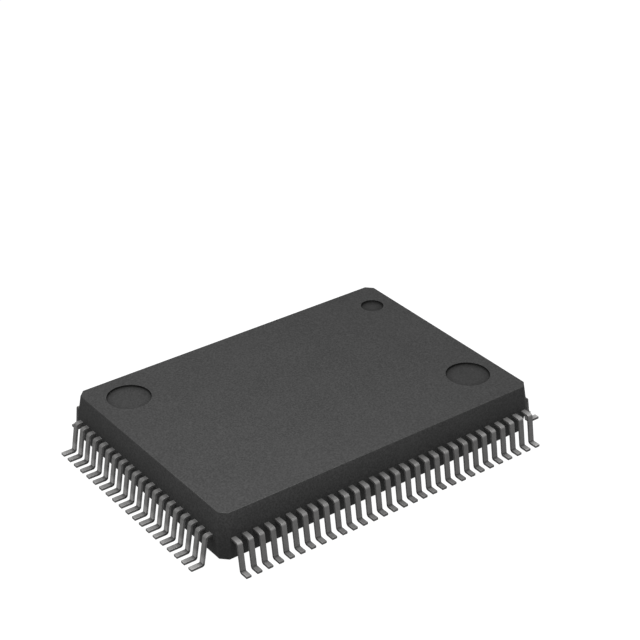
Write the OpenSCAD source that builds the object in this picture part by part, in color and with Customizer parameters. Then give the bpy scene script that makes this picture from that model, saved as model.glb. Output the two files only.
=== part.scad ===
// Microcontroller in a quad flat package, with gull-wing leads on all four sides.
// X runs along the long side, Y along the short side and Z up. The origin is the middle of the
// seating plane, so the undersides of the lead feet lie at z = 0.

/* [Moulded body] */
// Length of the body at its parting line
body_l = 20.25; // [20:0.05:24]
// Width of the body at its parting line
body_w = 14.2; // [14:0.1:18]
// Thickness of the body
body_t = 2.8; // [2.25:0.05:3.6]
// Gap between the seating plane and the underside of the body
standoff = 0.24; // [0.05:0.01:0.5]
// Draft of the side faces, in degrees
draft = 9; // [4:1:14]
// Leg of the chamfer on each upright corner, at the parting line
corner_leg = 0.5; // [0.4:0.05:0.8]

/* [Recesses in the top] */
// Diameter of the two ejector recesses
ejector_d = 2.4; // [1.6:0.1:3]
// Depth of the ejector recesses
ejector_depth = 0.12; // [0.05:0.01:0.2]
// Rear ejector recess: distance of its middle from the short edge
rear_ejector_inset_x = 2.25; // [1.9:0.05:3]
// Rear ejector recess: distance of its middle from the long edge
rear_ejector_inset_y = 2.2; // [1.9:0.1:3]
// Front ejector recess: distance of its middle from the short edge
front_ejector_inset_x = 2.1; // [1.9:0.1:3]
// Front ejector recess: distance of its middle from the long edge
front_ejector_inset_y = 3; // [1.9:0.1:4]
// Diameter of the pin 1 dimple
dimple_d = 1.3; // [0.8:0.1:2]
// Depth of the pin 1 dimple
dimple_depth = 0.12; // [0.05:0.01:0.2]
// Pin 1 dimple: distance of its middle from the short edge
dimple_inset_x = 1.6; // [1.4:0.1:2.5]
// Pin 1 dimple: distance of its middle from the long edge
dimple_inset_y = 2.2; // [1.4:0.1:2.5]

/* [Leads outside the body] */
// Leads on each long side, as far as it has room for them
long_count = 30; // [20:2:30]
// Leads on each short side, as far as it has room for them
short_count = 20; // [12:2:20]
// Pitch of the leads
pitch = 0.65; // [0.55:0.01:0.65]
// Least distance of the middle of a lead from the end of its side
row_end = 0.55; // [0.5:0.05:1]
// Width of a lead
lead_w = 0.3; // [0.2:0.01:0.36]
// Thickness of the lead frame
lead_t = 0.14; // [0.1:0.01:0.2]
// Reach of a lead from the side of the body to its tip
lead_reach = 1.28; // [1.15:0.01:2]
// Reach of the shoulder from a long side of the body to the outside of its bend
long_shoulder = 0.57; // [0.45:0.01:0.7]
// Reach of the shoulder from a short side of the body to the outside of its bend
short_shoulder = 0.38; // [0.35:0.01:0.7]
// Outward lean of the shank, in degrees from the vertical
shank_lean = 9; // [4:1:14]
// Inner radius of both bends
bend_r = 0.03; // [0.02:0.01:0.14]

/* [Lead frame inside the body] */
// Straight run of a lead inside the body, before it fans in
finger_run = 0.25; // [0.15:0.05:0.35]
// Width of a finger at its tip
tip_w = 0.16; // [0.12:0.01:0.2]
// Pitch of the finger tips along the long sides
long_tip_pitch = 0.33; // [0.3:0.01:0.35]
// Pitch of the finger tips along the short sides
short_tip_pitch = 0.36; // [0.3:0.01:0.38]
// Length of the die pad
pad_l = 9.6; // [8.4:0.1:9.8]
// Width of the die pad
pad_w = 6.2; // [5.6:0.1:6.4]
// Gap between the edge of the die pad and the finger tips
tip_gap = 0.8; // [0.5:0.05:1]
// Depth of the die pad below the fingers
downset = 0.3; // [0.2:0.02:0.34]
// Width of a tie bar
tie_w = 0.25; // [0.15:0.01:0.3]
// Moulding compound left over the end of a tie bar
tie_cover = 0.2; // [0.1:0.05:0.4]

/* [Die and bond wires] */
// Length of the die
die_l = 5.6; // [4.8:0.1:6.2]
// Width of the die
die_w = 4.8; // [4:0.1:5.2]
// Thickness of the die
die_t = 0.38; // [0.36:0.01:0.5]
// Thickness of the die attach
attach_t = 0.03; // [0.02:0.01:0.06]
// Margin of the die attach around the die
attach_margin = 0.15; // [0.05:0.05:0.4]
// Distance of the bond balls from the edge of the die
ball_inset = 0.12; // [0.08:0.01:0.2]
// Distance of the last bond ball of a row from the corner of the die
ball_corner = 0.25; // [0.15:0.05:0.5]
// Diameter of a bond ball
ball_d = 0.08; // [0.06:0.005:0.1]
// Height of a bond ball
ball_t = 0.04; // [0.036:0.002:0.05]
// Thickness of a bond wire
wire_t = 0.03; // [0.025:0.001:0.035]
// Height of a wire's neck above the die
neck_h = 0.16; // [0.12:0.01:0.2]
// Height of the top of a wire's loop above the die
loop_h = 0.26; // [0.22:0.01:0.34]
// Distance of the top of a loop from its ball
loop_run = 0.15; // [0.1:0.01:0.25]
// Part of a wire's run after which it falls to its finger
fall_share = 0.7; // [0.6:0.05:0.8]
// Distance of a wire's end from the tip of its finger
stitch_inset = 0.25; // [0.15:0.05:0.4]

/* [Hidden] */
// Segments of a circle, of a bond ball and of a bend
$fn = 64;
ball_fn = 16;
bend_steps = 6;
// Extra depth of every cutting shape
over = 0.5;

// Heights
body_top = standoff + body_t;
parting_z = standoff + body_t / 2;
frame_bottom = parting_z - lead_t / 2;
frame_top = parting_z + lead_t / 2;
pad_top = frame_top - downset;
pad_bottom = frame_bottom - downset;
attach_top = pad_top + attach_t;
die_top = attach_top + die_t;

// The finger tips stand round the die pad
ring_l = pad_l + 2 * tip_gap;
ring_w = pad_w + 2 * tip_gap;

// Distance of the flats across the corners from the middle of the body, at the parting line
flat_half = (body_l / 2 + body_w / 2 - corner_leg) / sqrt(2);

// Leads that a side of some length has room for
function room_for(side_l) = floor((side_l - 2 * row_end) / pitch) + 1;
leads_long = min(long_count, room_for(body_l));
leads_short = min(short_count, room_for(body_w));

// The four sides, counted anticlockwise from the front: turn about Z, leads, distance of the body's
// side from the middle, reach of the shoulder, distance of the tips, pitch of the tips, edge of the
// die, spread of the balls
function long_side(turn) =
    [turn, leads_long, body_w / 2, long_shoulder, ring_w / 2, long_tip_pitch, die_w / 2, die_l];
function short_side(turn) =
    [turn, leads_short, body_l / 2, short_shoulder, ring_l / 2, short_tip_pitch, die_l / 2, die_w];
front = long_side(0);
right = short_side(90);
rear = long_side(180);
left = short_side(270);
sides = [front, right, rear, left];

function turn_of(side) = side[0];
function count_of(side) = side[1];
function wall_of(side) = side[2];
function shoulder_of(side) = side[3];
function tip_of(side) = side[4];
function tip_pitch_of(side) = side[5];
function ball_row_of(side) = side[6] - ball_inset;
function ball_pitch_of(side) = (side[7] - 2 * ball_corner) / (count_of(side) - 1);

// Place of copy k in a row, measured from the middle of the side
function place(side, k, step) = (k - (count_of(side) - 1) / 2) * step;
function last_place(side, step) = place(side, count_of(side) - 1, step);

// Points of an arc, from one angle to another
function arc(centre, r, from, to) =
    [for (i = [0:bend_steps]) let (a = from + (to - from) * i / bend_steps)
        centre + r * [cos(a), sin(a)]];

// Side view of a lead, with its distance from the middle of the package along X and its height along Y.
// The shoulder turns down through a right angle less the lean, and the foot turns out again.
function lead_profile(side) =
    let (r_out = bend_r + lead_t,
         turn = 90 - shank_lean,
         corner = wall_of(side) + shoulder_of(side),
         tip = wall_of(side) + lead_reach,
         shoulder = [corner - r_out * tan(turn / 2), frame_top - r_out],
         knee_d = corner + (frame_top - lead_t) * tan(shank_lean),
         foot = [knee_d + bend_r * tan(turn / 2), r_out])
    concat([[tip_of(side) - over, frame_bottom], [tip_of(side) - over, frame_top]],
           arc(shoulder, r_out, 90, shank_lean),
           arc(foot, bend_r, 180 + shank_lean, 270),
           [[tip, lead_t], [tip, 0]],
           arc(foot, r_out, 270, 180 + shank_lean),
           arc(shoulder, bend_r, shank_lean, 90));

// Plan of lead k, with the middle of the package at Y = 0 and the lead pointing to -Y
function lead_plan(side, k, reach) =
    let (u = place(side, k, pitch),
         v = place(side, k, tip_pitch_of(side)),
         fan = wall_of(side) - finger_run)
    [[u - lead_w / 2, -reach], [u + lead_w / 2, -reach], [u + lead_w / 2, -fan],
     [v + tip_w / 2, -tip_of(side)], [v - tip_w / 2, -tip_of(side)], [u - lead_w / 2, -fan]];

module lead_plans(side, reach) {
    for (k = [0:count_of(side) - 1])
        polygon(lead_plan(side, k, reach));
}

// The leads of one side: their plans, cut out of one long strip of the bent profile
module lead_row(side) {
    row_l = (count_of(side) + 1) * pitch;
    color("#8f918e")
        rotate([0, 0, turn_of(side)])
            intersection() {
                translate([0, 0, -over])
                    linear_extrude(frame_top + 2 * over)
                        lead_plans(side, wall_of(side) + lead_reach + over);
                translate([row_l / 2, 0, 0])
                    rotate([0, 0, -90])
                        rotate([90, 0, 0])
                            linear_extrude(row_l)
                                polygon(lead_profile(side));
            }
}

// The flat fingers of one side, which the body is moulded round
module finger_row(side) {
    rotate([0, 0, turn_of(side)])
        translate([0, 0, frame_bottom])
            linear_extrude(lead_t)
                lead_plans(side, wall_of(side) + over);
}

// Side view of half the body: a hexagon with the parting line at its widest point
module drafted_profile(half) {
    inset = body_t / 2 * tan(draft);
    polygon([[half - inset, standoff], [half, parting_z], [half - inset, body_top],
             [inset - half, body_top], [-half, parting_z], [inset - half, standoff]]);
}

// A bar of that profile along Y, turned about Z
module drafted_bar(half, turn) {
    bar_l = body_l + body_w;
    rotate([0, 0, turn])
        translate([0, bar_l / 2, 0])
            rotate([90, 0, 0])
                linear_extrude(bar_l)
                    drafted_profile(half);
}

module recess(middle, d, depth) {
    translate([middle.x, middle.y, body_top - depth])
        cylinder(h = depth + over, d = d);
}

// The outside of the body: drafted on its four sides and on the flats across its corners
module moulding() {
    difference() {
        intersection() {
            drafted_bar(body_l / 2, 0);
            drafted_bar(body_w / 2, 90);
            drafted_bar(flat_half, 45);
            drafted_bar(flat_half, -45);
        }
        recess([rear_ejector_inset_x - body_l / 2, body_w / 2 - rear_ejector_inset_y],
               ejector_d, ejector_depth);
        recess([body_l / 2 - front_ejector_inset_x, front_ejector_inset_y - body_w / 2],
               ejector_d, ejector_depth);
        recess([body_l / 2 - dimple_inset_x, body_w / 2 - dimple_inset_y], dimple_d, dimple_depth);
    }
}

// The body fills every space round the lead frame, the die and the wires
module body() {
    color("#3a3a3a")
        difference() {
            moulding();
            for (side = sides) {
                finger_row(side);
                wire_loops(side);
            }
            die_pad();
            die_attach();
            die();
        }
}

// A tie bar runs midway between the last fingers of two neighbouring sides
tie_in = [(last_place(front, long_tip_pitch) + tip_w / 2 + ring_l / 2) / 2,
          (last_place(right, short_tip_pitch) + tip_w / 2 + ring_w / 2) / 2];
tie_out = [(last_place(front, pitch) + lead_w / 2 + body_l / 2 - finger_run) / 2,
           (last_place(right, pitch) + lead_w / 2 + body_w / 2 - finger_run) / 2];
tie_run = tie_out - tie_in;
tie_dir = tie_run / norm(tie_run);
tie_across = [-tie_dir.y, tie_dir.x];
// Distances along the tie bar from tie_in: its root in the pad, and the foot of its 45 degree slope
tie_root = (pad_w / 2 - tie_in.y) / tie_dir.y - 2 * tie_w;
tie_foot = -downset;
// Its end stays covered on the two sides and on the corner flat of the body
function tie_reach(normal, half) =
    (half - tie_cover - normal * tie_in - tie_w / 2 * abs(normal * tie_across)) / (normal * tie_dir);
tie_end = min(tie_reach([1, 0], body_l / 2),
              tie_reach([0, 1], body_w / 2),
              tie_reach([1, 1] / sqrt(2), flat_half));

module tie_bar() {
    translate([tie_in.x, tie_in.y, 0])
        rotate([0, 0, atan2(tie_dir.y, tie_dir.x)])
            translate([0, tie_w / 2, 0])
                rotate([90, 0, 0])
                    linear_extrude(tie_w)
                        polygon([[tie_root, pad_top], [tie_foot, pad_top],
                                 [0, frame_top], [tie_end, frame_top],
                                 [tie_end, frame_bottom], [0, frame_bottom],
                                 [tie_foot, pad_bottom], [tie_root, pad_bottom]]);
}

module slab(l, w, bottom, top) {
    translate([-l / 2, -w / 2, bottom])
        cube([l, w, top - bottom]);
}

// Paddle that carries the die, with a tie bar at each corner
module die_pad() {
    color("#b87348")
        union() {
            slab(pad_l, pad_w, pad_bottom, pad_top);
            for (mx = [0, 1], my = [0, 1])
                mirror([mx, 0, 0])
                    mirror([0, my, 0])
                        tie_bar();
        }
}

module die_attach() {
    color("#a9abb0")
        slab(die_l + 2 * attach_margin, die_w + 2 * attach_margin, pad_top, attach_top);
}

module die() {
    color("#4a5568")
        slab(die_l, die_w, attach_top, die_top);
}

// A band of even thickness along a path, with mitred corners
function normals(path) =
    [for (i = [0:len(path) - 2]) let (step = path[i + 1] - path[i])
        [-step.y, step.x] / norm(step)];
function mitre(before, after) = (before + after) / (1 + before * after);
function mitres(path) =
    let (n = normals(path), last = len(n) - 1)
    [for (i = [0:len(path) - 1]) mitre(n[max(i - 1, 0)], n[min(i, last)])];
function band(path, t) =
    let (m = mitres(path), last = len(path) - 1)
    concat([for (i = [0:last]) path[i] + m[i] * t / 2],
           [for (i = [last:-1:0]) path[i] - m[i] * t / 2]);

// Side view of a wire, with the distance from its ball along X and the height along Y: it rises from
// the ball, turns over, runs out level and falls into its finger
function loop_path(run) =
    [[0, die_top + ball_t / 2],
     [0, die_top + neck_h],
     [loop_run, die_top + loop_h],
     [fall_share * run, die_top + neck_h],
     [run, frame_top - wire_t / 2]];

module looped_wire(start, end) {
    run = end - start;
    translate([start.x, start.y, 0])
        rotate([0, 0, atan2(run.y, run.x)])
            translate([0, wire_t / 2, 0])
                rotate([90, 0, 0])
                    linear_extrude(wire_t)
                        polygon(band(loop_path(norm(run)), wire_t));
}

// Ball and loop of each wire of one side. The far end of a loop dips into its finger.
module wire_loops(side) {
    rotate([0, 0, turn_of(side)])
        for (k = [0:count_of(side) - 1]) {
            ball = [place(side, k, ball_pitch_of(side)), -ball_row_of(side)];
            tip = [place(side, k, tip_pitch_of(side)), -tip_of(side)];
            fan = [place(side, k, pitch), finger_run - wall_of(side)];
            translate([ball.x, ball.y, die_top])
                cylinder(h = ball_t, d = ball_d, $fn = ball_fn);
            looped_wire(ball, tip + stitch_inset * (fan - tip) / norm(fan - tip));
        }
}

// The bond wires of one side, each cut flat where it is stitched to its finger
module wire_row(side) {
    color("#d4a940")
        difference() {
            wire_loops(side);
            finger_row(side);
        }
}

module front_leads() { lead_row(front); }
module right_leads() { lead_row(right); }
module rear_leads() { lead_row(rear); }
module left_leads() { lead_row(left); }
module front_bond_wires() { wire_row(front); }
module right_bond_wires() { wire_row(right); }
module rear_bond_wires() { wire_row(rear); }
module left_bond_wires() { wire_row(left); }

body();
front_leads();
right_leads();
rear_leads();
left_leads();
die_pad();
die_attach();
die();
front_bond_wires();
right_bond_wires();
rear_bond_wires();
left_bond_wires();
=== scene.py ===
import math
import bpy
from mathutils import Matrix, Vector


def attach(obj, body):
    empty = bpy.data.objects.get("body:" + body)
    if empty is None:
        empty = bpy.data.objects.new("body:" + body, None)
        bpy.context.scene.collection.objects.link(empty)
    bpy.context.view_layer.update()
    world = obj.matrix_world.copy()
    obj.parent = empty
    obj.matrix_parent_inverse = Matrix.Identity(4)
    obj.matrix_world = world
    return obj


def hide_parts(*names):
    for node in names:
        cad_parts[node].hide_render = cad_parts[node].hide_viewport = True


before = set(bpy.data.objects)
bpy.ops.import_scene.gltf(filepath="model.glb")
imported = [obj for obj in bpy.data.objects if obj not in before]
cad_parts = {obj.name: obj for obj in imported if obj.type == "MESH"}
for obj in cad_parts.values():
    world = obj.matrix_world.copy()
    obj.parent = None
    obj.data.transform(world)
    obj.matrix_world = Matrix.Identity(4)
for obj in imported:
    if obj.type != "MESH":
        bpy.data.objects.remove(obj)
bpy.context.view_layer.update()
mm = 0.001  # pieces are modelled in millimetres and brought down to metres when they are done
print("frame loaded with", len(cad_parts), "nodes")

# what all pieces share, in millimetres and degrees
bench = {
    "facing": 0.9,   # how squarely a face has to look outwards to be picked
    "hair": 0.001,   # allowance when faces and edges are picked by their place
    "smooth": 20,    # bends flatter than this are shaded smooth
}


def putDown():
    # operators work on everything that is selected, and the loaded nodes come in selected
    if bpy.context.object and bpy.context.object.mode != "OBJECT":
        bpy.ops.object.mode_set(mode="OBJECT")
    bpy.ops.object.select_all(action="DESELECT")


def takeUp(piece):
    putDown()
    piece.select_set(True)
    bpy.context.view_layer.objects.active = piece


def openMesh(piece, kind="FACE"):
    takeUp(piece)
    bpy.ops.object.mode_set(mode="EDIT")
    bpy.ops.mesh.select_mode(type=kind)
    bpy.ops.mesh.select_all(action="DESELECT")


def pickFaces(piece, test):
    openMesh(piece)
    bpy.ops.object.mode_set(mode="OBJECT")
    for face in piece.data.polygons:
        face.select = test(face)
    bpy.ops.object.mode_set(mode="EDIT")


def pickEdges(piece, test):
    openMesh(piece, "EDGE")
    bpy.ops.object.mode_set(mode="OBJECT")
    points = piece.data.vertices
    for edge in piece.data.edges:
        edge.select = test(*(points[k].co for k in edge.vertices))
    bpy.ops.object.mode_set(mode="EDIT")


def pushOut(x, y, z):
    bpy.ops.mesh.extrude_region_move(TRANSFORM_OT_translate={"value": (x, y, z)})


def addBlock(name, middle, size):
    putDown()
    bpy.ops.mesh.primitive_cube_add(size=1, location=middle, scale=size)
    block = bpy.context.object
    block.name = block.data.name = name
    bpy.ops.object.transform_apply(location=True, rotation=True, scale=True)
    return block


def closeSeams(gap):
    bpy.ops.mesh.select_all(action="SELECT")
    bpy.ops.mesh.remove_doubles(threshold=gap)
    bpy.ops.mesh.normals_make_consistent(inside=False)


def roundEdges(piece, made):
    openMesh(piece, "EDGE")
    bpy.ops.mesh.edges_select_sharp(sharpness=math.radians(made["sharp"]))
    bpy.ops.mesh.bevel(offset=made["edge"], segments=made["edgeSteps"], affect="EDGES")
    putDown()


def carve(piece, cutter):
    takeUp(piece)
    cut = piece.modifiers.new("cut", "BOOLEAN")
    cut.operation = "DIFFERENCE"
    cut.solver = "EXACT"
    cut.object = cutter
    bpy.ops.object.modifier_apply(modifier="cut")


def toMetres(piece, turn=0.0):
    takeUp(piece)
    piece.rotation_euler.z = math.radians(turn)
    piece.scale = (mm, mm, mm)
    bpy.ops.object.transform_apply(location=True, rotation=True, scale=True)
    bpy.ops.object.shade_smooth_by_angle(angle=math.radians(bench["smooth"]))


# one lead of the frame, in millimetres and degrees
lead = {
    "width": 0.3, "thick": 0.14, "pitch": 0.65,
    "reach": 1.28, "lean": 9,                   # from the side of the body to the tip, lean of the shank
    "bend": 0.03, "bendSteps": 5,               # inner radius of both bends
    "top": 1.71,                                # upper face of the lead frame
    "run": 0.25, "tipWidth": 0.16,              # straight run inside the body, width of the finger's tip
    "tipZone": 0.1,                             # what is this close to the tip fans in with it
    "edge": 0.02, "edgeSteps": 2, "sharp": 40,  # rounding, and how sharp an edge has to be to get it
    "seam": 0.0001,                             # points closer than this are merged
}
longSide = {"count": 30, "wall": 7.1, "shoulder": 0.57, "tip": 3.9, "tipPitch": 0.33}
shortSide = {"count": 20, "wall": 10.125, "shoulder": 0.38, "tip": 5.6, "tipPitch": 0.36}
sides = [
    {"name": "front", "turn": 0, **longSide},
    {"name": "right", "turn": 90, **shortSide},
    {"name": "rear", "turn": 180, **longSide},
    {"name": "left", "turn": 270, **shortSide},
]


def formLead(side):
    # one lead, straight out to -Y
    wall, tip = side["wall"], side["tip"]
    width, thick, top = lead["width"], lead["thick"], lead["top"]
    lean = math.radians(lead["lean"])
    turn = math.pi / 2 - lean
    outer = lead["bend"] + thick
    slip = math.tan(turn / 2)
    inner = wall - lead["run"]
    corner = wall + side["shoulder"]
    bendStart = corner - outer * slip
    footStart = corner + (top - thick) * math.tan(lean) + lead["bend"] * slip
    strip = addBlock("lead", (0, -(inner + bendStart) / 2, top - thick / 2),
                     (width, bendStart - inner, thick))
    # shoulder bend, shank, foot bend, foot
    pickFaces(strip, lambda face: face.normal.y < -bench["facing"])
    bpy.ops.mesh.spin(steps=lead["bendSteps"], angle=-turn, axis=(1, 0, 0),
                      center=(0, -bendStart, top - outer))
    shankTop = Vector((bendStart + outer * math.cos(lean), top - outer + outer * math.sin(lean)))
    shankEnd = Vector((footStart - lead["bend"] * math.cos(lean), outer - lead["bend"] * math.sin(lean)))
    pushOut(0, shankTop.x - shankEnd.x, shankEnd.y - shankTop.y)
    bpy.ops.mesh.spin(steps=lead["bendSteps"], angle=turn, axis=(1, 0, 0),
                      center=(0, -footStart, outer))
    pushOut(0, footStart - wall - lead["reach"], 0)
    # finger inside the body, narrowing to its tip
    pickFaces(strip, lambda face: face.center.y > -inner - bench["hair"])
    pushOut(0, inner - tip, 0)
    bpy.ops.transform.resize(value=(lead["tipWidth"] / width, 1, 1),
                             center_override=(0, -tip, top - thick / 2))
    closeSeams(lead["seam"])
    roundEdges(strip, lead)
    return strip


def makeLeadRow(side):
    master = formLead(side)
    tipLine = -side["tip"] - lead["tipZone"]
    copies = []
    for k in range(side["count"]):
        step = k - (side["count"] - 1) / 2
        mesh = master.data.copy()
        for vertex in mesh.vertices:
            if vertex.co.y > tipLine:  # the fingers fan in to the die
                vertex.co.x += step * (side["tipPitch"] - lead["pitch"])
        copy = bpy.data.objects.new("lead", mesh)
        bpy.context.scene.collection.objects.link(copy)
        copy.location.x = step * lead["pitch"]
        copies.append(copy)
    bpy.data.objects.remove(master)
    putDown()
    for copy in copies:
        copy.select_set(True)
    row = copies[0]
    bpy.context.view_layer.objects.active = row
    bpy.ops.object.transform_apply(location=True, rotation=True, scale=True)
    bpy.ops.object.join()
    row.name = row.data.name = side["name"] + "_lead_row"
    return row


rows = []
for side in sides:
    row = makeLeadRow(side)
    toMetres(row, side["turn"])
    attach(row, "root")
    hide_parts(side["name"] + "_leads")
    rows.append(row)
    print("lead row", side["name"], "with", side["count"], "leads,", len(row.data.polygons), "faces")


# the moulded body, in millimetres and degrees
moulding = {
    "length": 20.25, "width": 14.2, "thick": 2.8, "standoff": 0.24,
    "draft": 9, "cornerLeg": 0.5,
    "edge": 0.02, "edgeSteps": 2, "sharp": 30,
    "seam": 0.0005,
    "recessDepth": 0.12, "recessSides": 96, "pin": 1,  # the pin that carves a recess, and its length
    "rim": 0.01, "rimSteps": 2,
    "rimZone": 0.2, "rimReach": (9.5, 6.5),            # how near the rims lie to the top and its middle
}
# recesses in the top: the two ejector marks and the pin 1 dimple, and how much painted shade darkens
# their floors
recesses = [
    {"middle": (-7.875, 4.9), "across": 2.4, "shade": 0.14},
    {"middle": (8.025, -4.1), "across": 2.4, "shade": 0.27},
    {"middle": (8.525, 4.9), "across": 1.3, "shade": 0.37},
]
partingZ = moulding["standoff"] + moulding["thick"] / 2
bodyTop = moulding["standoff"] + moulding["thick"]
cornerReach = (moulding["length"] / 2 + moulding["width"] / 2 - moulding["cornerLeg"]) / math.sqrt(2)


def castBody():
    body = addBlock("moulded_body", (0, 0, partingZ),
                    (moulding["length"], moulding["width"], moulding["thick"]))
    # four drafted sides and four corner flats, above and below the parting line
    draft = math.radians(moulding["draft"])
    openMesh(body)
    for heading in range(0, 360, 45):
        reach = {0: moulding["length"] / 2, 90: moulding["width"] / 2}.get(heading % 180, cornerReach)
        out = Vector((math.cos(math.radians(heading)), math.sin(math.radians(heading)), 0))
        for half in (1, -1):
            bpy.ops.mesh.select_all(action="SELECT")
            bpy.ops.mesh.bisect(plane_co=out * reach + Vector((0, 0, partingZ)),
                                plane_no=out * math.cos(draft) + Vector((0, 0, half * math.sin(draft))),
                                use_fill=True, clear_outer=True)
    closeSeams(moulding["seam"])
    roundEdges(body, moulding)
    pinMiddle = bodyTop - moulding["recessDepth"] + moulding["pin"] / 2
    for recess in recesses:
        putDown()
        bpy.ops.mesh.primitive_cylinder_add(vertices=moulding["recessSides"], depth=moulding["pin"],
                                            radius=recess["across"] / 2,
                                            location=(*recess["middle"], pinMiddle))
        pin = bpy.context.object
        carve(body, pin)
        bpy.data.objects.remove(pin)
    # rims and floors of the recesses, which lie well inside the edge of the top
    rimX, rimY = moulding["rimReach"]
    pickEdges(body, lambda a, b: min(a.z, b.z) > bodyTop - moulding["rimZone"]
              and abs(a.z - b.z) < bench["hair"]
              and max(abs(a.x), abs(b.x)) < rimX and max(abs(a.y), abs(b.y)) < rimY)
    bpy.ops.mesh.bevel(offset=moulding["rim"], segments=moulding["rimSteps"], affect="EDGES")
    putDown()
    return body


body = castBody()
toMetres(body)
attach(body, "root")
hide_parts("body")
print("body cast,", len(body.data.polygons), "faces")


class Val:
    # a socket of a material, for writing shader maths as plain expressions
    def __init__(self, tree, out=None):
        self.tree, self.out = tree, out

    def feed(self, socket, value):
        if isinstance(value, Val):
            self.tree.links.new(value.out, socket)
        else:
            socket.default_value = value

    def node(self, kind, settings=None, sockets=None, out=0):
        made = self.tree.nodes.new(kind)
        for name, value in (settings or {}).items():
            setattr(made, name, value)
        for name, value in (sockets or {}).items():
            self.feed(made.inputs[name], value)
        return Val(self.tree, made.outputs[out])

    def math(self, operation, *values):
        return self.node("ShaderNodeMath", {"operation": operation}, dict(enumerate(values)))

    def __add__(self, other):
        return self.math("ADD", self, other)

    def __sub__(self, other):
        return self.math("SUBTRACT", self, other)

    def __rsub__(self, other):
        return self.math("SUBTRACT", other, self)

    def __mul__(self, other):
        return self.math("MULTIPLY", self, other)

    def __truediv__(self, other):
        return self.math("DIVIDE", self, other)

    def __rpow__(self, other):
        return self.math("POWER", other, self)

    __radd__, __rmul__ = __add__, __mul__

    def least(self, other):
        return self.math("MINIMUM", self, other)

    def most(self, other):
        return self.math("MAXIMUM", self, other)

    def size(self):
        return self.math("ABSOLUTE", self)

    def square(self):
        return self * self

    def root(self):
        return self.math("SQRT", self)

    def swing(self, amount):
        # a pattern from 0 to 1, turned into a change up and down
        return (self - 0.5) * amount

    def split(self):
        node = self.node("ShaderNodeSeparateXYZ", {}, {0: self}).out.node
        return [Val(self.tree, out) for out in node.outputs]

    def between(self, low, high):
        # 0 below low and 1 above high, with a smooth rise
        return self.node("ShaderNodeMapRange", {"interpolation_type": "SMOOTHSTEP"},
                         {"Value": self, "From Min": low, "From Max": high})

    def blend(self, first, second):
        # mixes two colours by this value; the node's colour sockets have no names of their own
        return self.node("ShaderNodeMix", {"data_type": "RGBA"}, {0: self, 6: first, 7: second}, 2)

    def noise(self, grain, detail):
        # grain is the size of the pattern in millimetres
        sockets = {"Vector": self, "Scale": 1 / (grain * mm), "Detail": detail}
        return self.node("ShaderNodeTexNoise", {}, sockets)

    def cells(self, grain):
        sockets = {"Vector": self, "Scale": 1 / (grain * mm)}
        return self.node("ShaderNodeTexVoronoi", {}, sockets, "Distance")

    def bump(self, strength, height):
        # this value as relief, height in millimetres
        sockets = {"Strength": strength, "Distance": height * mm, "Height": self}
        return self.node("ShaderNodeBump", {}, sockets)


def newFinish(name, **constants):
    finish = bpy.data.materials.new(name)
    finish.use_nodes = True
    shader = finish.node_tree.nodes["Principled BSDF"]
    for socket, value in constants.items():
        shader.inputs[socket.replace("_", " ")].default_value = value
    start = Val(finish.node_tree)
    place = start.node("ShaderNodeTexCoord", out="Object")
    return finish, shader, start, place


def grey(level, warm=0.0):
    return (level * (1 + warm), level, level * (1 - warm), 1)


# dark moulding compound, sizes in millimetres
compound = {
    "dark": 0.024, "pale": 0.052,
    "grain": 0.07, "filler": 0.11, "mottle": 2.6, "detail": 3,     # sizes of the patterns
    "fillerShare": 0.3, "mottleShare": 0.1, "spread": (0.3, 0.7),  # how they mix
    "rough": 0.62, "roughGrain": 0.25, "roughMottle": 0.1,
    "relief": 0.004, "bump": 0.5,
    "worn": 0.07, "wear": 0.15, "wearWidth": 0.08,                 # paler and smoother along the edges
    "wearMottle": 0.1, "wearGrain": 0.06, "wearGloss": 0.12,
    "sunk": (0.012, 0.03), "tooDeep": (0.2, 0.3),                  # depths where a recess starts and ends
    "rim": (0.02, 0.04),                                           # and how far past its radius it ends
    "wallShade": 0.55, "wallWidth": 0.15,                          # painted shade in the corner of a recess
    "ringShade": 0.35, "ringWidth": 0.5,                           # and fainter painted shade in a ring on its floor
    "floorGloss": 0.08, "floorFlat": 0.5,
}


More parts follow.
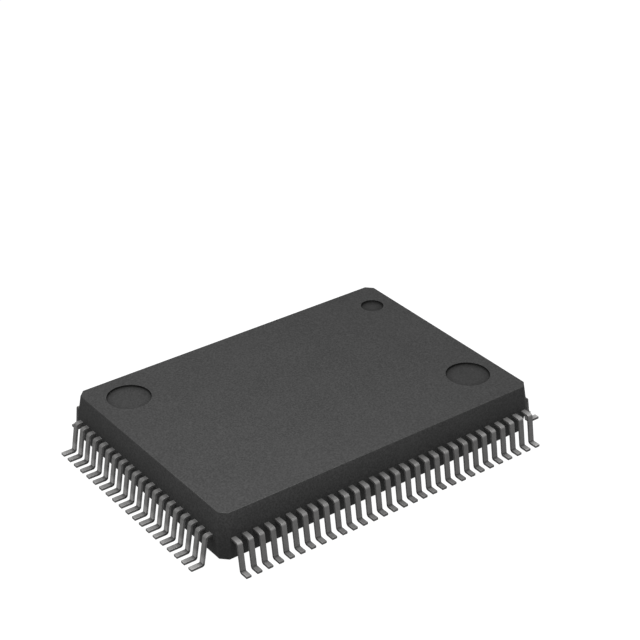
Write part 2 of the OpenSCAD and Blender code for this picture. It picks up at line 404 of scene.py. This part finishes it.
def mouldCompound():
    finish, shader, start, place = newFinish("mouldCompound", IOR=1.5)
    grain = place.noise(compound["grain"], compound["detail"])
    filler = place.cells(compound["filler"])
    mottle = place.noise(compound["mottle"], compound["detail"])
    x, y, z = (part / mm for part in place.split())
    # distance to the nearest edge of the body: the second smallest distance to its faces
    tilt = math.radians(moulding["draft"])
    wide, deep, high = x.size(), y.size(), (z - partingZ).size()
    lean = high * math.tan(tilt)
    flat = moulding["thick"] / 2 - high
    end = (moulding["length"] / 2 - wide - lean) * math.cos(tilt)
    flank = (moulding["width"] / 2 - deep - lean) * math.cos(tilt)
    corner = (cornerReach - (wide + deep) * math.sqrt(0.5) - lean) * math.cos(tilt)
    edge = flat.least(end).most(flank.least(corner)).least(flat.most(end).least(flank.most(corner)))
    edge = edge + mottle.swing(compound["wearMottle"]) + grain.swing(compound["wearGrain"])
    wear = 1 - edge.between(0.0, compound["wearWidth"])
    # the floors of the recesses are smoother; they carry painted shade, and their walls darker painted
    # shade still
    depth = bodyTop - z
    sunk = depth.between(*compound["sunk"]) * (1 - depth.between(*compound["tooDeep"]))
    shade, floor = 0.0, 0.0
    for recess in recesses:
        radius = recess["across"] / 2
        out = ((x - recess["middle"][0]).square() + (y - recess["middle"][1]).square()).root()
        inside = (1 - out.between(*(radius + past for past in compound["rim"]))) * sunk
        wall = out.between(radius - compound["wallWidth"], radius).square()
        ring = out.between(radius - compound["ringWidth"], radius)
        # painted shade in the corner of each recess and in a ring along its wall
        paintedRecessShade = wall * compound["wallShade"] + ring * compound["ringShade"]
        shade = shade + inside * (recess["shade"] + paintedRecessShade)
        floor = floor + inside * (1 - wall)
    speckle = grain * (1 - compound["fillerShare"]) + filler * compound["fillerShare"]
    tone = speckle * (1 - compound["mottleShare"]) + mottle * compound["mottleShare"]
    colour = tone.between(*compound["spread"]).blend(grey(compound["dark"]), grey(compound["pale"]))
    colour = (wear * compound["wear"]).blend(colour, grey(compound["worn"]))
    colour = shade.blend(colour, grey(0.0))
    rough = compound["rough"] + grain.swing(compound["roughGrain"])
    rough = rough + mottle.swing(compound["roughMottle"])
    rough = rough - wear * compound["wearGloss"] - floor * compound["floorGloss"]
    speckle = speckle * (1 - floor * compound["floorFlat"])
    start.feed(shader.inputs["Base Color"], colour)
    start.feed(shader.inputs["Roughness"], rough)
    start.feed(shader.inputs["Normal"], speckle.bump(compound["bump"], compound["relief"]))
    return finish


# matte tin on the leads, sizes and heights in millimetres
tin = {
    "dark": 0.19, "pale": 0.25, "warm": 0.01, "metal": 0.35,
    "crystal": 0.06, "cloud": 0.5, "scuff": 0.03,      # sizes of the patterns
    "cloudDetail": 3, "scuffDetail": 2,
    "cloudShare": 0.6, "scuffShare": 0.25, "crystalShare": 0.15, "spread": (0.25, 0.75),
    "rough": 0.46, "roughCloud": 0.2, "roughScuff": 0.15, "rootRough": 0.1,
    "relief": 0.002, "bump": 0.4, "crystalRelief": 0.5,
    "sideBlur": 0.05,                                  # short sides begin this soon past their wall
    "footTop": (0.15, 0.22), "heelTop": (0.38, 0.72), "shankTop": (1.45, 1.6),
    "short": 0.24, "heelPale": 0.95,                   # painted light: the short sides are paler, most above the heel
    "crease": -0.5, "creaseEnd": 0.35, "heel": -0.18,  # painted shade on the feet, in the crease and at the heel
    "toe": -0.1, "endToe": 0.2, "toeStart": 0.5,       # and painted light at the toe, most on the short sides
    "turned": (0.5, 0.9),                              # how squarely a face looks up or along its row
    "flankShade": 0.25,                                   # painted shade on the flanks, which look along the row
    "open": 0.35, "openFade": 0.4,                     # painted light: the ends of a row are paler, fading lead by lead
    "right": 0.55, "rightReach": (4, 10),              # and so, as painted light, is what lies towards +X
    "rightToe": 0.5,                                   # there the long sides' toes get more painted light still
    "flat": (0.985, 1.0),                              # where a bend ends and the flat shoulder begins
    "crest": 0.25,                                     # painted highlight along the bends of the long sides
    "crestRise": (0.26, 0.6), "crestFall": (0.7, 0.95),
    "brow": 0.15, "browRise": (0.5, 0.75),             # painted shade along the bends of the short sides
    "near": 0.1,                                       # painted shade: the shoulders are duller towards -X, -Y
    "nearX": (-10, 3), "nearY": (-6.5, -3.5),
    "nearBend": 0.22, "nearRise": (0.65, 0.9),         # most of all where they start to bend
    "rootShade": 0.6, "rootShadeTone": 0.03,                     # painted shade near the body
    "rootShadeReach": 0.95, "rootShadeScuff": 0.2,             # over this share of the shoulder, rough-edged
}


def tinPlating():
    finish, shader, start, place = newFinish("tinPlating", Metallic=tin["metal"])
    crystal = place.cells(tin["crystal"])
    cloud = place.noise(tin["cloud"], tin["cloudDetail"])
    scuff = place.noise(tin["scuff"], tin["scuffDetail"])
    tone = cloud * tin["cloudShare"] + scuff * tin["scuffShare"] + crystal * tin["crystalShare"]
    level = tin["dark"] + tone.between(*tin["spread"]) * (tin["pale"] - tin["dark"])
    x, y, z = (part / mm for part in place.split())
    turnX, turnY, turnZ = start.node("ShaderNodeTexCoord", out="Normal").split()
    # how far out from the walls of the body a point lies, and whether its lead is on a short side
    endOut, flankOut = x.size() - shortSide["wall"], y.size() - longSide["wall"]
    short = endOut.between(0.0, tin["sideBlur"])
    aboveFoot = z.between(*tin["footTop"])
    aboveHeel = (1 - z.between(*tin["heelTop"])) * aboveFoot
    shoulder = z.between(*tin["shankTop"])
    # painted light: below the shoulder the short sides are paler, most above the heel
    level = level * (1 + short * ((1 - shoulder) * tin["short"] + aboveHeel * tin["heelPale"]))
    # how far along its foot a point lies, from the heel to the toe
    drop = (lead["top"] - lead["thick"]) * math.tan(math.radians(lead["lean"]))
    endHeel, flankHeel = shortSide["shoulder"] + drop, longSide["shoulder"] + drop
    endAlong = (endOut - endHeel) / (lead["reach"] - endHeel)
    flankAlong = (flankOut - flankHeel) / (lead["reach"] - flankHeel)
    along = endAlong.most(flankAlong)
    # painted shade in the crease and at the heel, painted light at the toe
    toe = tin["toe"] + short * tin["endToe"]
    tipward = along.between(tin["toeStart"], 1.0)
    footLightAndShade = tin["heel"] + tipward * (toe - tin["heel"])
    footLightAndShade = footLightAndShade + (1 - along.between(0.0, tin["creaseEnd"])) * tin["crease"]
    level = level * (1 + (1 - aboveFoot) * footLightAndShade)
    # painted shade on the flanks, the faces that look along the row
    flankShade = (short * turnY.size() + (1 - short) * turnX.size()).between(*tin["turned"])
    level = level * (1 - flankShade * tin["flankShade"])
    # painted light: the upper faces are paler at the ends of a row, counted in leads from its last one
    endRow, flankRow = ((side["count"] - 1) / 2 * lead["pitch"] for side in (shortSide, longSide))
    inward = (short * (endRow - y.size()) + (1 - short) * (flankRow - x.size())) / lead["pitch"]
    upward = turnZ.between(*tin["turned"])
    level = level * (1 + upward * tin["openFade"] ** inward * tin["open"])
    # painted light towards +X, most on the toes of the long sides
    right = tin["right"] + (1 - short) * tipward * tin["rightToe"]
    level = level * (1 + upward * x.between(*tin["rightReach"]) * right)
    # painted highlight and painted shade along the shoulder bends, where the face turns from up to out
    bent = 1 - turnZ.between(*tin["flat"])
    crest = turnZ.between(*tin["crestRise"]) * (1 - turnZ.between(*tin["crestFall"]))
    brow = turnZ.between(*tin["browRise"]) * bent
    line = (1 - short) * crest * tin["crest"] - short * brow * tin["brow"]
    level = level * (1 + shoulder * line)
    # painted shade on the shoulders towards -X, -Y, most where they start to bend
    near = (1 - x.between(*tin["nearX"])) * (1 - y.between(*tin["nearY"]))
    turning = turnZ.between(*tin["nearRise"]) * bent
    level = level * (1 - shoulder * near * (upward * tin["near"] + turning * tin["nearBend"]))
    # painted shade where a lead comes out of the body
    out = (endOut / shortSide["shoulder"]).most(flankOut / longSide["shoulder"])
    rootShade = 1 - (out + scuff.swing(tin["rootShadeScuff"])).between(0.0, tin["rootShadeReach"])
    level = level * (1 - rootShade * tin["rootShade"]) + rootShade * tin["rootShade"] * tin["rootShadeTone"]
    colour = level.blend(grey(0.0), grey(1.0, tin["warm"]))
    rough = tin["rough"] + cloud.swing(tin["roughCloud"]) + scuff.swing(tin["roughScuff"])
    rough = rough + rootShade * tin["rootRough"]
    surface = crystal * tin["crystalRelief"] + scuff * (1 - tin["crystalRelief"])
    start.feed(shader.inputs["Base Color"], colour)
    start.feed(shader.inputs["Roughness"], rough)
    start.feed(shader.inputs["Normal"], surface.bump(tin["bump"], tin["relief"]))
    return finish


def dress(piece, finish):
    piece.data.materials.clear()
    piece.data.materials.append(finish)


dress(body, mouldCompound())
plating = tinPlating()
for row in rows:
    dress(row, plating)


# the nodes sealed inside the body keep their shapes and get these finishes
sealed = [
    {"name": "bareCopper", "nodes": ["die_pad"], "metal": 1.0, "rough": 0.34, "grain": 0.12,
     "dark": (0.50, 0.23, 0.12, 1), "pale": (0.78, 0.42, 0.26, 1)},
    {"name": "silverAdhesive", "nodes": ["die_attach"], "metal": 0.45, "rough": 0.55, "grain": 0.05,
     "dark": (0.40, 0.41, 0.43, 1), "pale": (0.72, 0.73, 0.75, 1)},
    {"name": "polishedSilicon", "nodes": ["die"], "metal": 0.3, "rough": 0.16, "grain": 0.35,
     "dark": (0.06, 0.08, 0.12, 1), "pale": (0.20, 0.20, 0.26, 1)},
    {"name": "goldWire", "nodes": [side["name"] + "_bond_wires" for side in sides],
     "metal": 1.0, "rough": 0.25, "grain": 0.04,
     "dark": (0.68, 0.44, 0.12, 1), "pale": (0.95, 0.73, 0.32, 1)},
]
# and share this texture: a cloud nine grains wide over a fine grain
sealedTexture = {
    "cloud": 9, "cloudDetail": 2, "grainDetail": 3, "cloudShare": 0.5, "spread": (0.3, 0.7),
    "roughSwing": 0.2, "relief": 0.003, "bump": 0.3,
}


def innerFinish(look):
    finish, shader, start, place = newFinish(look["name"], Metallic=look["metal"])
    fine = place.noise(look["grain"], sealedTexture["grainDetail"])
    cloud = place.noise(look["grain"] * sealedTexture["cloud"], sealedTexture["cloudDetail"])
    tone = fine * (1 - sealedTexture["cloudShare"]) + cloud * sealedTexture["cloudShare"]
    colour = tone.between(*sealedTexture["spread"]).blend(look["dark"], look["pale"])
    start.feed(shader.inputs["Base Color"], colour)
    start.feed(shader.inputs["Roughness"], look["rough"] + fine.swing(sealedTexture["roughSwing"]))
    start.feed(shader.inputs["Normal"], fine.bump(sealedTexture["bump"], sealedTexture["relief"]))
    return finish


for look in sealed:
    finish = innerFinish(look)
    for name in look["nodes"]:
        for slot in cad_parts[name].material_slots:
            slot.material = finish
print("finishes applied")


# places and sizes in millimetres, the camera's turn and height in degrees, power in watts
studio = {
    "floor": 0.1, "floorFleck": 0.03, "fleck": 3, "fleckDetail": 3, "floorRough": 0.9,
    "floorSize": 2000, "floorGap": 0.02,  # just under the feet
    "glow": 1.0, "world": 0.244,
    "lamp": (-11, -9, 47), "lampSize": 60, "lampPower": 0.035,
    "target": (6.701, 7.496, 1.5), "azimuth": -126.764, "elevation": 29.976, "distance": 105.88,
    "lens": 101.62, "sensor": 36, "clip": 1,
}


def layFloor():
    putDown()
    bpy.ops.mesh.primitive_plane_add(size=studio["floorSize"] * mm,
                                     location=(0, 0, -studio["floorGap"] * mm))
    floor = bpy.context.object
    floor.name = "floor"
    finish, shader, start, place = newFinish("paleFloor", Roughness=studio["floorRough"],
                                             Emission_Color=grey(1), Emission_Strength=studio["glow"])
    fleck = place.noise(studio["fleck"], studio["fleckDetail"])
    colour = fleck.blend(grey(studio["floor"]), grey(studio["floor"] - studio["floorFleck"]))
    start.feed(shader.inputs["Base Color"], colour)
    dress(floor, finish)
    # a white ground that the part neither mirrors nor is lit by
    floor.visible_diffuse = False
    floor.visible_glossy = False
    floor.visible_shadow = False


def hangLights():
    world = bpy.data.worlds.new("studio")
    bpy.context.scene.world = world
    world.use_nodes = True
    sky = world.node_tree.nodes["Background"]
    sky.inputs["Color"].default_value = grey(1)
    sky.inputs["Strength"].default_value = studio["world"]
    place = Vector(studio["lamp"]) * mm
    bpy.ops.object.light_add(type="AREA", location=place)
    lamp = bpy.context.object
    lamp.name = "overhead"
    lamp.data.size = studio["lampSize"] * mm
    lamp.data.energy = studio["lampPower"]
    lamp.rotation_euler = (-place).to_track_quat("-Z", "Y").to_euler()


def placeCamera():
    turn, rise = math.radians(studio["azimuth"]), math.radians(studio["elevation"])
    back = Vector((math.cos(rise) * math.cos(turn), math.cos(rise) * math.sin(turn), math.sin(rise)))
    eye = (Vector(studio["target"]) + back * studio["distance"]) * mm
    bpy.ops.object.camera_add(location=eye, rotation=back.to_track_quat("Z", "Y").to_euler())
    camera = bpy.context.object
    camera.data.sensor_fit = "HORIZONTAL"
    camera.data.sensor_width = studio["sensor"]
    camera.data.lens = studio["lens"]
    camera.data.clip_start = studio["clip"] * mm
    bpy.context.scene.camera = camera
    bpy.context.scene.view_settings.view_transform = "Standard"


layFloor()
hangLights()
placeCamera()
print("stage set")
